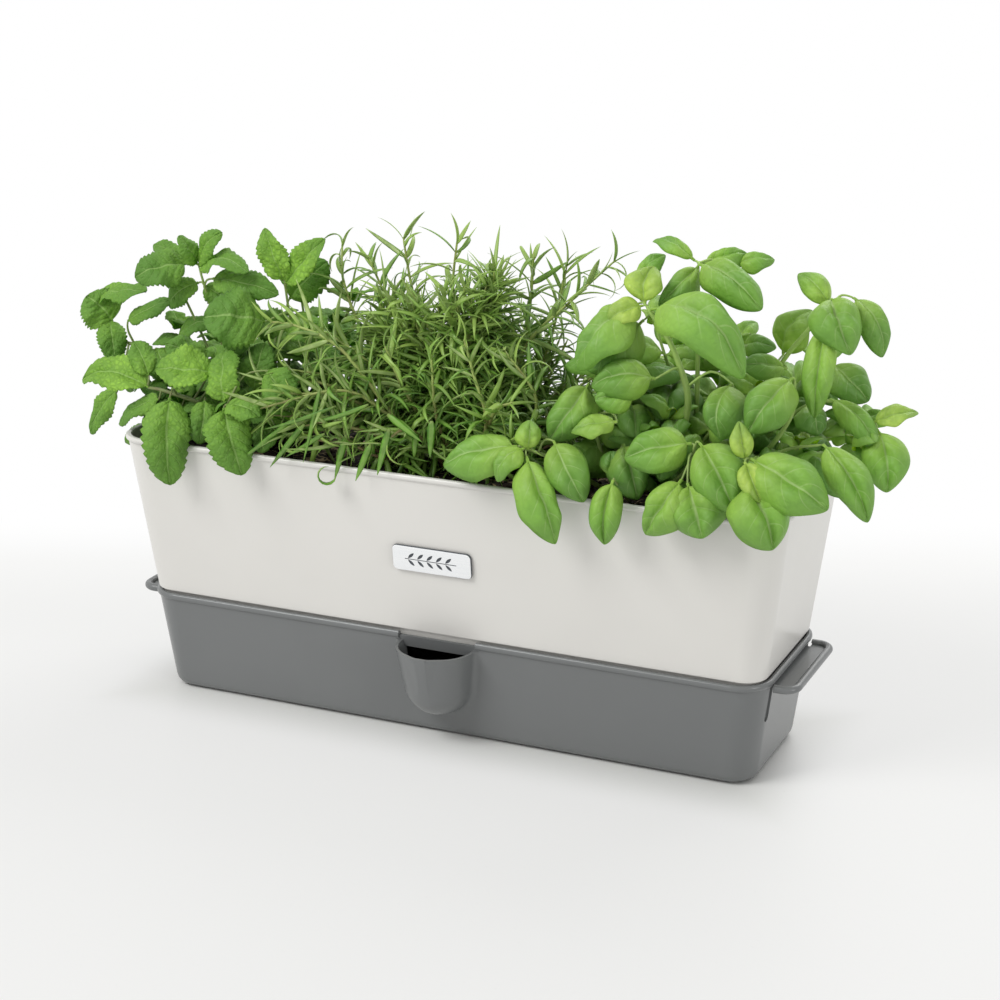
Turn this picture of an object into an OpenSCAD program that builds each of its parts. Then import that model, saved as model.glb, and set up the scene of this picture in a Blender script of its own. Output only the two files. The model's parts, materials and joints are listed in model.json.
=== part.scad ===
// Self-watering herb planter: a drafted trough that nests in a water
// reservoir, felt wicks that hang through its floor, and three herbs planted in compost.
// The origin is on the table under the middle of the planter.
// +X runs along the planter, -Y is the front with the filling spout, +Z is up.

/* [Planter trough] */
// Length of the trough wall just under its lip
trough_len = 420; // [400:5:460]
// Depth of the trough wall just under its lip
trough_dep = 131; // [126:1:140]
// Height of the trough lip above the table
trough_top = 167; // [160:1:180]
// Wall thickness of the trough
trough_wall = 2.5; // [2:0.1:3]
// Radius of the trough's upright corners at the lip
trough_corner = 19; // [14:1:22]

/* [Water reservoir] */
// Height of the reservoir rim above the table
rim_top = 65.5; // [60:0.5:68]
// Wall thickness of the reservoir
tray_wall = 2.2; // [1.8:0.1:2.6]
// Radius of the filling spout at its lip
spout_r = 24.3; // [20:0.1:25]
// How far each grip stands out from the end wall
grip_out = 16.5; // [14:0.5:20]
// Length of each grip along the end wall
grip_len = 81; // [60:1:84]

/* [Nameplate] */
// Width of the nameplate
plate_w = 50.5; // [40:0.5:60]
// Height of the nameplate
plate_h = 16; // [12:0.5:20]

/* [Planting] */
// Height of the compost above the table
compost_top = 158; // [150:1:160]
// Radius of a herb's root ball at the top
root_r = 50; // [44:0.5:51]
// Height of a root ball
root_h = 88; // [70:1:90]
// Thickness of the felt wicks
felt = 3; // [2:0.5:4]

/* [Hidden] */

draft = 0.12;               // how much a wall leans out for each mm of height
lean = atan(draft);         // the same draft as an angle
lip_h = 3.8;                // height of the rolled lip on the trough
lip_low = trough_top - lip_h;
gap = 1;                    // shadow gap between the reservoir rim and the trough
seat_z = rim_top + gap;     // underside of the trough's outer wall
plug_drop = 12.1;           // how far the trough's plug reaches into the reservoir
plug_z = seat_z - plug_drop;
plug_in = 2.3;              // how far the plug is set in from the outer wall
floor_t = 2.5;              // thickness of the trough floor
floor_z = plug_z + floor_t;
tray_out = 1.8;             // how far the reservoir wall stands outside the trough wall
bead_h = 4.2;               // height of the rolled bead on the reservoir rim
bead_low = rim_top - bead_h;
foot_h = 0.8;                // height of the reservoir floor above the table
foot_recess = 0.6;          // depth of the recess that holds each foot
foot_r = 8;
tray_floor = 2.4;           // thickness of the reservoir floor
corner_steps = 10;          // flats in each rounded corner
arc_steps = 14;             // flats in the round bottom of the spout
bay = 126;                  // distance between neighbouring herbs
slot_y = 21;                // where a wick tail passes the floor
slot_w = 34;
slot_d = 6;
mat_len = 104;
mat_dep = 88;
tail_w = 30;
tail_end = foot_h + tray_floor + 2.5;
mat_top = floor_z + felt;
loose = 0.4;                // how far compost stays clear of the trough and of a root ball
leaf_z = trough_top + 7;    // lowest point of the foliage
spout_z = 38;               // height of the middle of the spout's round bottom
spout_base_r = 21.5;
spout_lip_z = 60;
spout_wall = 1.6;
spout_blend = 4;            // radius of the blend between spout and wall
spout_flare = (spout_r - spout_base_r) / (spout_lip_z - spout_z);
slice_tip = 0.3;            // how far short of its tip each slice of the spout is cut
spout_fwd = 0.8;            // how far the spout's axis stands in front of the wall
grip_bead = 2.4;            // radius of the rolled edge round a grip
grip_corner = 10;
grip_z = rim_top - 5.4;     // height of the middle of that rolled edge
grip_panel = 2.4;
grip_clear = 2.2;           // gap between the rolled edge and the wall at each end of a grip
groove_w = 6;               // width of the upright groove in the wall under that gap
groove_low = 38;            // lowest point of that groove
groove_t = 1.3;             // depth of that groove
notch = 25;                 // half width of the break in the rim over the spout
screen_low = 56;            // the wall behind the spout runs between these two heights
screen_top = 63;
screen_t = 1.6;
tape_t = 0.8;
plate_t = 1.6;
plate_z = 114.6;            // height of the middle of the nameplate
rib_t = 2.4;                // thickness of the reservoir's upright ribs
rib_reach = 8;              // how far those ribs stand in from the wall line
floor_rib_h = felt - 0.2;   // ribs on the trough floor that part the wicks
drain_r = 2.5;
crown_t = 8;                // thickness of each herb's hollow crown of leaves
mint_x = -bay;
basil_x = bay;

// Each herb's crown as rows of [height, centre x, centre y, half length, half depth]
mint_rows = [[leaf_z, -165, 0, 72, 62], [leaf_z + 25, -171, 0, 95, 78], [leaf_z + 60, -171, 0, 92, 74],
             [leaf_z + 95, -165, 0, 70, 58], [leaf_z + 118, -160, 0, 34, 28]];
rosemary_rows = [[leaf_z, 0, 0, 62, 62], [leaf_z + 30, 0, 0, 72, 78], [leaf_z + 80, 0, 0, 72, 74],
                 [leaf_z + 120, 0, 0, 60, 56], [leaf_z + 140, 0, 0, 28, 26]];
basil_rows = [[leaf_z, 160, 0, 78, 66], [leaf_z + 25, 171, 0, 95, 84], [leaf_z + 70, 171, 0, 93, 78],
              [leaf_z + 105, 165, 0, 74, 60], [leaf_z + 128, 160, 0, 36, 30]];

// Each herb's stems as [root x, root y, lean towards +X, lean towards +Y], in mm and degrees
mint_list = [[-20, -8, -12, -4], [-8, 14, -4, 6], [6, -14, -2, -9], [16, 8, 3, 6], [-26, 12, -18, 4]];
rosemary_list = [[-14, -6, -6, -5], [10, 8, 5, 5], [0, -16, 1, -8], [-10, 14, -5, 8]];
basil_list = [[-14, -8, -3, -6], [4, 12, 3, 7], [14, -14, 9, -8], [24, 6, 15, 3], [-6, -20, 2, -12]];

// Half length, half depth and corner radius of the trough's outer wall at height z
function trough_at(z) = let (d = (z - lip_low) * draft)
    [trough_len / 2 + d, trough_dep / 2 + d, trough_corner + d * 0.4];

// The same for the reservoir's outer wall
function tray_at(z) = let (d = (z - seat_z) * draft + tray_out, t = trough_at(seat_z))
    [t[0] + d, t[1] + d, t[2] + 4 + d * 0.4];

// A shape of [half length, half depth, radius] grown outward by d
function grown(s, d) = [s[0] + d, s[1] + d, max(s[2] + d, 1)];

// Points round a rounded rectangle of shape s at height z
function ring(s, z) = [for (c = [0:3]) for (k = [0:corner_steps])
    let (a = 90 * c + 90 * k / corner_steps,
         sx = (c == 0 || c == 3) ? 1 : -1,
         sy = c < 2 ? 1 : -1)
    [sx * (s[0] - s[2]) + s[2] * cos(a), sy * (s[1] - s[2]) + s[2] * sin(a), z]];

// Points round an oval at height z
function oval(cx, cy, hx, hy, z, n = 28) = [for (k = [0:n - 1])
    let (a = 360 * k / n) [cx + hx * cos(a), cy + hy * sin(a), z]];

// A closed solid through rings of equally many points, capped at both ends
module loft(rings) {
    n = len(rings[0]);
    m = len(rings);
    sides = [for (j = [0:m - 2]) for (i = [0:n - 1])
        let (a = j * n + i, b = j * n + (i + 1) % n) each [[a, a + n, b + n], [a, b + n, b]]];
    polyhedron([for (r = rings) each r],
        concat([[for (i = [0:n - 1]) i]], sides, [[for (i = [n - 1:-1:0]) (m - 1) * n + i]]));
}

// Profile of the trough: [height, distance outside the wall line, uses the plug line]
function trough_profile() = [
    [plug_z, -1.8, 1], [plug_z + 0.5, -0.6, 1], [plug_z + 1.8, 0, 1], [seat_z, 0, 1],
    [seat_z, -0.7, 0], [seat_z + 0.25, -0.2, 0], [seat_z + 0.9, 0, 0],
    [lip_low, 0, 0], [lip_low + 0.3, 0.8, 0], [lip_low + 1.1, 1.4, 0], [lip_low + 2.2, 1.5, 0],
    [trough_top - 0.6, 1.0, 0], [trough_top - 0.1, 0.2, 0], [trough_top, -0.8, 0],
    [trough_top - 0.4, -2.0, 0], [trough_top - 1.4, -trough_wall, 0],
    [seat_z + trough_wall + 1.2, -trough_wall, 0], [seat_z + trough_wall + 0.2, -trough_wall - 0.5, 0],
    [seat_z + trough_wall, -trough_wall, 1], [floor_z + 2.5, -trough_wall, 1],
    [floor_z + 0.7, -trough_wall - 0.7, 1], [floor_z, -trough_wall - 2.5, 1]];

function trough_ring(p) = ring(grown(trough_at(p[0]), p[1] - p[2] * plug_in), p[0]);

module floor_ribs() {
    for (x = [-bay / 2, bay / 2]) translate([x - 1, -trough_dep / 2 + 18, floor_z - 1])
        cube([2, trough_dep - 36, floor_rib_h + 1]);
}

// Slots for the wick tails and four drain holes round each wick
module floor_holes() {
    for (x = [-bay, 0, bay]) {
        translate([x - slot_w / 2, slot_y - slot_d / 2, plug_z - 1]) cube([slot_w, slot_d, floor_t + 2]);
        for (dx = [-48, 48], dy = [-36, 36]) translate([x + dx, dy, plug_z - 1])
            cylinder(h = floor_t + 2, r = drain_r, $fn = 32);
    }
}

module planter_trough() {
    color([0.85, 0.84, 0.81]) difference() {
        union() {
            loft([for (p = trough_profile()) trough_ring(p)]);
            floor_ribs();
        }
        floor_holes();
    }
}

// Profile of the reservoir: [height, distance outside the wall line]
function tray_profile() = [
    [foot_h, -5.2], [foot_h + 0.35, -3.2], [foot_h + 1.4, -1.4], [foot_h + 3.1, -0.35], [foot_h + 5.5, 0],
    [bead_low - 0.3, 0], [bead_low + 0.2, 0.8], [bead_low + 0.9, 1.3], [bead_low + 2, 1.45],
    [rim_top - 1, 1.1], [rim_top - 0.25, 0.35], [rim_top, -0.7], [rim_top - 0.3, -1.7],
    [rim_top - 1.1, -tray_wall],
    [foot_h + tray_floor + 4, -tray_wall], [foot_h + tray_floor + 1.2, -tray_wall - 0.9],
    [foot_h + tray_floor, -tray_wall - 3.5]];

// Radius of the spout at v up the wall from the middle of its round bottom, for a surface set in by d
function spout_at(v, d) = spout_base_r - d + max(v, 0) * spout_flare;

// Lowest v that a slice of the spout at n out from the wall reaches with its middle
function slice_foot(n, d) = max(0, (n - spout_fwd - spout_base_r + d + slice_tip) / spout_flare);
function slice_half(v, n, d) = sqrt(max(pow(spout_at(v, d), 2) - pow(n - spout_fwd, 2), 0.5));
function blend_at(n) = n >= spout_blend ? 0
    : spout_blend - sqrt(max(pow(spout_blend, 2) - pow(spout_blend - max(n, 0), 2), 0));

// U-shaped outline at n out from the wall, top at v = top, as points in the wall's own frame
function spout_outline(n, d, top, blended) =
    let (b = blended ? blend_at(n) : 0, foot = slice_foot(n, d),
         w0 = slice_half(foot, n, d) + b, wt = slice_half(top, n, d) + b)
    concat([[-wt, -n, top]], [for (k = [0:arc_steps]) let (a = 180 * k / arc_steps - 180)
        [w0 * cos(a), -n, foot + w0 * sin(a)]], [[wt, -n, top]]);

// Distances out from the wall at even turns round the spout, from turn first to its front
function spout_slices(first, d) = concat(
    [for (a = [first:8:80]) spout_fwd + (spout_base_r - d) * sin(a)],
    [for (k = [0:3]) spout_fwd + spout_base_r - d + (spout_r - spout_base_r) * k / 3]);

// Puts a shape drawn in the front wall's own frame in place, at height z
module on_wall(half_depth, z) {
    translate([0, -half_depth, z]) rotate([lean, 0, 0]) children();
}

module spout_outer() {
    slices = concat([-1.2, 0, 0.3, 0.9, 1.8, 2.9], spout_slices(10, 0));
    on_wall(tray_at(spout_z)[1], spout_z) loft([for (n = slices) spout_outline(n, 0, 40, true)]);
}

module spout_inner() {
    slices = concat([-8, -2], spout_slices(0, spout_wall));
    on_wall(tray_at(spout_z)[1], spout_z) loft([for (n = slices) spout_outline(n, spout_wall, 48, false)]);
}

// The reservoir wall that carries on behind the spout, above the way into the reservoir
module spout_screen() {
    set_in = 0.3;
    on_wall(tray_at(screen_low)[1], screen_low) translate([-notch - 1, set_in, 0])
        cube([2 * notch + 2, screen_t, screen_top - screen_low]);
}

// One end grip: a flat panel with a rolled edge on its three free sides
module grip() {
    wall_x = tray_at(grip_z)[0] - 1;
    free_x = tray_at(grip_z)[0] + grip_clear;
    out_x = tray_at(grip_z)[0] + grip_out - grip_bead;
    y = grip_len / 2 - grip_bead;
    root_y = y - groove_w;
    c = grip_corner - grip_bead;
    translate([wall_x, -root_y, grip_z - grip_panel]) cube([out_x - wall_x - c, 2 * root_y, grip_panel]);
    translate([free_x, -y, grip_z - grip_panel]) cube([out_x - free_x - c, 2 * y, grip_panel]);
    translate([free_x, -y + c, grip_z - grip_panel]) cube([out_x - free_x, 2 * y - 2 * c, grip_panel]);
    for (s = [-1, 1]) {
        translate([out_x - c, s * (y - c), grip_z - grip_panel]) cylinder(h = grip_panel, r = c, $fn = 48);
        translate([free_x, s * y, grip_z]) rotate([0, 90, 0])
            cylinder(h = out_x - c - free_x, r = grip_bead, $fn = 32);
        translate([out_x - c, s * (y - c), grip_z]) rotate([0, 0, s > 0 ? 0 : -90])
            rotate_extrude(angle = 90, $fn = 48) translate([c, 0]) circle(r = grip_bead, $fn = 32);
    }
    translate([out_x, -y + c, grip_z]) rotate([-90, 0, 0]) cylinder(h = 2 * (y - c), r = grip_bead, $fn = 32);
}

// Upright grooves with a round foot in the end wall, one under each end of a grip
module grip_grooves() {
    r = groove_w / 2;
    y = grip_len / 2 - grip_bead - r;
    for (s = [-1, 1]) translate([tray_at(groove_low)[0] - groove_t, s * y, groove_low]) rotate([0, lean, 0])
        rotate([90, 0, 90]) linear_extrude(3 * groove_t) union() {
            translate([0, r]) circle(r = r, $fn = 48);
            translate([-r, r]) square([groove_w, bead_low - groove_low - r]);
        }
}

// Side view of one reservoir rib. axis 0 follows an end wall, axis 1 a long wall.
module rib_side(axis, s) {
    low = foot_h + tray_floor - 0.5;
    sunk = 1.2;
    polygon([[s * (tray_at(low)[axis] - sunk), low], [s * (tray_at(plug_z)[axis] - sunk), plug_z],
             [s * (tray_at(plug_z)[axis] - rib_reach), plug_z], [s * (tray_at(low)[axis] - rib_reach), low]]);
}

// Upright ribs inside the reservoir that carry the trough's plug
module seat_ribs() {
    for (x = [-bay * 1.05, -bay / 2, bay / 2, bay * 1.05], s = [-1, 1])
        translate([x - rib_t / 2, 0, 0]) rotate([90, 0, 90]) linear_extrude(rib_t) rib_side(1, s);
    for (y = [-22, 22], s = [-1, 1])
        translate([0, y + rib_t / 2, 0]) rotate([90, 0, 0]) linear_extrude(rib_t) rib_side(0, s);
}

module foot_places() {
    for (x = [-1, 1], y = [-1, 1]) translate([x * (tray_at(foot_h)[0] - 22), y * (tray_at(foot_h)[1] - 18), 0])
        children();
}

module reservoir_tray() {
    color([0.42, 0.43, 0.43]) union() {
        spout_screen();
        difference() {
            union() {
                loft([for (p = tray_profile()) ring(grown(tray_at(p[0]), p[1]), p[0])]);
                difference() {
                    spout_outer();
                    translate([-50, -120, spout_lip_z]) cube([100, 100, 60]);
                }
                grip();
                mirror([1, 0, 0]) grip();
                seat_ribs();
            }
            spout_inner();
            grip_grooves();
            mirror([1, 0, 0]) grip_grooves();
            translate([-notch, -80, spout_lip_z]) cube([2 * notch, 40, 20]);
            foot_places() translate([0, 0, foot_h - 1])
                cylinder(h = 1 + foot_recess, r = foot_r + 0.1, $fn = 48);
        }
    }
}

module tray_feet() {
    color([0.12, 0.12, 0.12]) foot_places() cylinder(h = foot_h + foot_recess, r = foot_r, $fn = 48);
}

module nameplate_tape() {
    color([0.2, 0.2, 0.2]) on_wall(trough_at(plate_z)[1], plate_z)
        translate([-plate_w / 2 + 2, -tape_t, -plate_h / 2 + 2]) cube([plate_w - 4, tape_t, plate_h - 4]);
}

// A pointed leaf outline lying in the plane, from the origin along +X, sunk to depth
module leaf_mark(length, bulge, depth) {
    r = (length * length / 4 + bulge * bulge) / (2 * bulge);
    intersection() {
        translate([length / 2, bulge - r, 0]) cylinder(h = depth, r = r, $fn = 64);
        translate([length / 2, r - bulge, 0]) cylinder(h = depth, r = r, $fn = 64);
    }
}

// The plate carries a plain sprig of engraved leaves and no lettering
module nameplate() {
    pairs = 5;
    step = 6;
    cut = 0.35;
    shape = [plate_w / 2, plate_h / 2, 3];
    color([0.8, 0.82, 0.84]) on_wall(trough_at(plate_z)[1], plate_z) translate([0, -tape_t, 0])
        rotate([90, 0, 0]) difference() {
            loft([ring(shape, 0), ring(shape, plate_t - 0.7), ring(grown(shape, -0.25), plate_t - 0.25),
                  ring(grown(shape, -0.9), plate_t)]);
            for (k = [0:pairs - 1], s = [-1, 1])
                translate([(k - pairs / 2) * step, 0.5 * s, plate_t - cut]) rotate([0, 0, s * 42])
                    leaf_mark(5.4, 0.9, 1);
            translate([-pairs * step / 2 - 2, -0.25, plate_t - cut]) cube([pairs * step + 3, 0.5, 1]);
        }
}

// Felt mat with a tongue cut from its middle and folded down into the water
module wick_mat(x) {
    window = 44;
    corner = 10;
    fold_y = slot_y - felt / 2;
    color([0.35, 0.37, 0.36]) translate([x, 0, 0]) union() {
        difference() {
            translate([0, 0, floor_z]) linear_extrude(felt) union() {
                square([mat_len - 2 * corner, mat_dep], center = true);
                square([mat_len, mat_dep - 2 * corner], center = true);
                for (sx = [-1, 1], sy = [-1, 1])
                    translate([sx * (mat_len / 2 - corner), sy * (mat_dep / 2 - corner)])
                        circle(r = corner, $fn = 48);
            }
            translate([-tail_w / 2 - 0.5, fold_y - window, floor_z - 1]) cube([tail_w + 1, window, felt + 2]);
        }
        translate([-tail_w / 2, fold_y, tail_end]) cube([tail_w, felt, mat_top - tail_end]);
    }
}

// Tapered root ball, or the hole for one when grown by extra
module root_ball_shape(x, extra) {
    taper = 12;
    edge = 3;
    translate([x, 0, compost_top - root_h]) rotate_extrude($fn = 96)
        polygon([[0, -extra], [root_r - taper - edge + extra, -extra], [root_r - taper + extra, edge - extra],
                 [root_r + extra, root_h - edge], [root_r + extra - (extra > 0 ? 0 : edge), root_h + extra],
                 [0, root_h + extra]]);
}

module root_ball(x) {
    color([0.2, 0.14, 0.1]) root_ball_shape(x, 0);
}

// Profile of the compost: [height, distance outside the wall line, uses the plug line]
function compost_profile() = let (t = -trough_wall - loose) [
    [mat_top, t - 3, 1], [seat_z + trough_wall + 1.5, t - 0.6, 1], [seat_z + trough_wall + 3, t - 0.6, 0],
    [compost_top - 5, t, 0], [compost_top - 2, t - 2, 0], [compost_top, t - 8, 0]];

module potting_compost() {
    color([0.14, 0.1, 0.08]) difference() {
        loft([for (p = compost_profile()) trough_ring(p)]);
        for (x = [-bay, 0, bay]) root_ball_shape(x, loose);
    }
}

module crown_outer(rows) {
    loft([for (r = rows) oval(r[1], r[2], r[3], r[4], r[0])]);
}

module crown_inner(rows, t) {
    loft([for (i = [0:len(rows) - 2]) let (r = rows[i])
        oval(r[1], r[2], r[3] - t, r[4] - t, i == 0 ? r[0] - 1 : r[0] - (i == len(rows) - 2 ? t / 2 : 0))]);
}

// A herb's leaves as a hollow crown
module crown(rows, t) {
    difference() {
        crown_outer(rows);
        crown_inner(rows, t);
    }
}

// Stems fan out from the root ball and end on the inside of the crown
module stems(x, rows, t, list, r) {
    enough = 220;
    intersection() {
        union() for (s = list) translate([x + s[0], s[1], compost_top - 10]) rotate([-s[3], s[2], 0])
            cylinder(h = enough, r = r, $fn = 24);
        union() {
            translate([x - 45, -40, compost_top]) cube([90, 80, leaf_z - compost_top]);
            crown_inner(rows, t);
        }
    }
}

module mint_foliage() { color([0.38, 0.56, 0.22]) crown(mint_rows, crown_t); }
module rosemary_foliage() { color([0.33, 0.45, 0.22]) crown(rosemary_rows, crown_t); }
module basil_foliage() { color([0.48, 0.68, 0.28]) crown(basil_rows, crown_t); }
module mint_stems() { color([0.5, 0.6, 0.3]) stems(mint_x, mint_rows, crown_t, mint_list, 1.8); }
module rosemary_stems() { color([0.45, 0.36, 0.24]) stems(0, rosemary_rows, crown_t, rosemary_list, 2.4); }
module basil_stems() { color([0.55, 0.68, 0.36]) stems(basil_x, basil_rows, crown_t, basil_list, 2.2); }

reservoir_tray();
tray_feet();
planter_trough();
nameplate();
nameplate_tape();
wick_mat(-bay);  // wick_mat_left
wick_mat(0);  // wick_mat_middle
wick_mat(bay);  // wick_mat_right
potting_compost();
root_ball(mint_x);  // mint_root_ball
root_ball(0);  // rosemary_root_ball
root_ball(basil_x);  // basil_root_ball
mint_stems();
rosemary_stems();
basil_stems();
mint_foliage();
rosemary_foliage();
basil_foliage();
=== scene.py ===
"""The looks of the self-watering herb planter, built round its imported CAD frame."""

import json
import math
import random
from dataclasses import dataclass

import bpy
import numpy as np
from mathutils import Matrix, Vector, noise


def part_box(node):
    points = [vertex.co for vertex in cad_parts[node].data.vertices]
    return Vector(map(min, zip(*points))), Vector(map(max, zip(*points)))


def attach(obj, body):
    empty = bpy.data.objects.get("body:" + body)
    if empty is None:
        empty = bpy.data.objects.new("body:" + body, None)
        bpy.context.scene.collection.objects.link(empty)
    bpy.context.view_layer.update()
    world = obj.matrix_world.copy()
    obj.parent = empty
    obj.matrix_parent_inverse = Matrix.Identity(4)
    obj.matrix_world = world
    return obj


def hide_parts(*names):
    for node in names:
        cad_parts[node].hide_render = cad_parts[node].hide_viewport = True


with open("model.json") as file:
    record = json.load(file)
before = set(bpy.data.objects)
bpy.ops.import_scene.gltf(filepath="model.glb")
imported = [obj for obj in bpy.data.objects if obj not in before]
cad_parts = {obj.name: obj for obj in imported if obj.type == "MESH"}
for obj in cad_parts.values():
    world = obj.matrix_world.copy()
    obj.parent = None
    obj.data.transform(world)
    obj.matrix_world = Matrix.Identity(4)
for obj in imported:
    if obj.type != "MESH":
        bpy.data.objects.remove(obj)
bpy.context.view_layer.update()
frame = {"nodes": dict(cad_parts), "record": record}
nodes = frame["nodes"]

MM = 0.001
UP = np.array((0.0, 0.0, 1.0))
TOWARDS_VIEW = np.array((0.25, -0.68, 0.68))
HERBS = ("mint", "rosemary", "basil")
WALL_LEAN = math.atan(0.12)
VIEW_AZIMUTH = math.radians(23.85)


def rgb(red, green, blue):
    """Linear colour from screen values of 0 to 255."""
    parts = []
    for c in (red / 255, green / 255, blue / 255):
        parts.append(c / 12.92 if c <= 0.04045 else ((c + 0.055) / 1.055) ** 2.4)
    return (*parts, 1.0)


def unit(v):
    return v / max(np.linalg.norm(v), 1e-9)


# ---------------------------------------------------------------- materials


class Look:
    """A node material round one Principled shader."""

    def __init__(self, name):
        self.material = bpy.data.materials.new(name)
        self.material.use_nodes = True
        self.tree = self.material.node_tree
        self.tree.nodes.clear()
        self.output = self.tree.nodes.new("ShaderNodeOutputMaterial")
        self.main = self.add("BsdfPrincipled")
        self.tree.links.new(self.main.outputs[0], self.output.inputs[0])
        self.place = self.add("TexCoord").outputs["Object"]

    def feed(self, socket, value):
        if isinstance(value, bpy.types.NodeSocket):
            self.tree.links.new(value, socket)
        else:
            socket.default_value = value

    def add(self, kind, settings=(), **inputs):
        node = self.tree.nodes.new("ShaderNode" + kind)
        for key, value in dict(settings).items():
            setattr(node, key, value)
        for key, value in inputs.items():
            self.feed(node.inputs[key.replace("_", " ")], value)
        return node

    def set(self, **inputs):
        for key, value in inputs.items():
            self.feed(self.main.inputs[key.replace("_", " ")], value)

    def math(self, operation, a, b=0.0, c=0.0):
        node = self.add("Math", {"operation": operation})
        for socket, value in zip(node.inputs, (a, b, c)):
            self.feed(socket, value)
        return node.outputs[0]

    def mix(self, factor, a, b):
        node = self.add("Mix", {"data_type": "RGBA"})
        for index, value in ((0, factor), (6, a), (7, b)):
            self.feed(node.inputs[index], value)
        return node.outputs[2]

    def noise(self, scale, detail=2.0, vector=None, roughness=0.5):
        inputs = {"Vector": vector or self.place, "Scale": scale, "Detail": detail, "Roughness": roughness}
        return self.add("TexNoise", **inputs).outputs[0]

    def cells(self, scale, feature="F1", vector=None):
        node = self.add("TexVoronoi", {"feature": feature}, Vector=vector or self.place, Scale=scale)
        return node.outputs["Distance"]

    def stretched(self, x, y, z):
        return self.add("Mapping", Vector=self.place, Scale=(x, y, z)).outputs[0]

    def fit(self, value, low, high, to_low=0.0, to_high=1.0):
        return self.add("MapRange", {"interpolation_type": "SMOOTHSTEP"}, Value=value, From_Min=low,
                        From_Max=high, To_Min=to_low, To_Max=to_high).outputs[0]

    def bump(self, height, strength, distance):
        node = self.add("Bump", Strength=strength, Distance=distance, Height=height)
        self.set(Normal=node.outputs[0])

    def blend_in(self, shader, share):
        """Mixes another shader over the main one."""
        both = self.add("MixShader", Fac=share)
        self.tree.links.new(self.main.outputs[0], both.inputs[1])
        self.tree.links.new(shader.outputs[0], both.inputs[2])
        self.tree.links.new(both.outputs[0], self.output.inputs[0])

    def let_light_through(self, colour, share):
        """Lets light pass, as thin leaves do."""
        self.blend_in(self.add("BsdfTranslucent", Color=colour), share)


def moulded_plastic(name, colour, shade, roughness):
    """Glossy moulded plastic: faint tone drift, a fine spark texture and uneven sheen."""
    look = Look(name)
    drift = look.noise(9, 3)
    look.set(Base_Color=look.mix(look.fit(drift, 0.3, 0.7), colour, shade), IOR=1.49)
    smears = look.noise(14, 4)
    look.set(Roughness=look.fit(smears, 0.3, 0.7, roughness, roughness + 0.02))
    look.bump(look.noise(2600, 2), 0.12, 0.05 * MM)
    return look


def rubber():
    look = Look("black_rubber")
    dust = look.fit(look.noise(180, 4), 0.5, 0.75)
    look.set(Base_Color=look.mix(dust, rgb(34, 34, 35), rgb(58, 57, 55)), Roughness=0.75)
    look.bump(look.noise(900, 3), 0.3, 0.1 * MM)
    return look


def polished_metal(face_point, face_normal):
    """Chromed plate with a faint brushed drift. Dark enamel fills what is engraved below its face."""
    look = Look("polished_chrome")
    brushed = look.noise(60, 3, look.stretched(1, 1, 30))
    chrome = look.mix(brushed, rgb(242, 245, 248), rgb(255, 255, 255))
    shift = look.add("VectorMath", {"operation": "SUBTRACT"})
    look.feed(shift.inputs[0], look.place)
    shift.inputs[1].default_value = face_point
    height = look.add("VectorMath", {"operation": "DOT_PRODUCT"})
    look.feed(height.inputs[0], shift.outputs[0])
    height.inputs[1].default_value = face_normal
    engraved = look.fit(height.outputs["Value"], -0.22 * MM, -0.12 * MM, 1.0, 0.0)
    look.set(Base_Color=look.mix(engraved, chrome, rgb(70, 74, 80)))
    look.set(Metallic=look.fit(engraved, 0.0, 1.0, 1.0, 0.2))
    look.set(Roughness=look.fit(look.noise(70, 4), 0.35, 0.7, 0.12, 0.22))
    look.bump(brushed, 0.04, 0.05 * MM)
    return look


def felt():
    """Needled felt: tangled fibres, flecked colour and no shine."""
    look = Look("grey_felt")
    fibres = look.noise(700, 6, look.stretched(1, 2.5, 1), 0.75)
    flecks = look.fit(look.noise(260, 5, None, 0.8), 0.4, 0.68)
    tone = look.mix(flecks, rgb(96, 101, 98), rgb(140, 144, 140))
    look.set(Base_Color=look.mix(look.fit(fibres, 0.4, 0.7), tone, rgb(74, 79, 77)), Roughness=0.95)
    look.set(Sheen_Weight=0.4)
    look.bump(fibres, 0.8, 0.5 * MM)
    return look


def compost(name, rooty):
    """Crumbly dark compost. Rooty compost shows pale roots matted through it."""
    look = Look(name)
    crumbs = look.cells(260)
    grain = look.noise(420, 6, None, 0.7)
    earth = look.mix(look.fit(grain, 0.35, 0.7), rgb(24, 19, 16), rgb(72, 56, 44))
    fibre = look.fit(look.noise(260, 3, look.stretched(1, 1, 5)), 0.68, 0.76)
    colour = look.mix(fibre, earth, rgb(96, 76, 56))
    if rooty:
        wander = look.add("Mapping", Vector=look.add("TexNoise", Vector=look.place, Scale=45.0).outputs[1],
                          Scale=(0.03, 0.03, 0.03)).outputs[0]
        path = look.add("VectorMath", {"operation": "ADD"}).outputs[0]
        look.feed(path.node.inputs[0], look.place)
        look.feed(path.node.inputs[1], wander)
        threads = look.fit(look.cells(75, "DISTANCE_TO_EDGE", path), 0.02, 0.07, 1.0, 0.0)
        colour = look.mix(threads, colour, rgb(176, 156, 122))
    look.set(Base_Color=colour, Roughness=0.95)
    look.bump(look.math("ADD", crumbs, grain), 0.9, 1.2 * MM)
    return look


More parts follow.
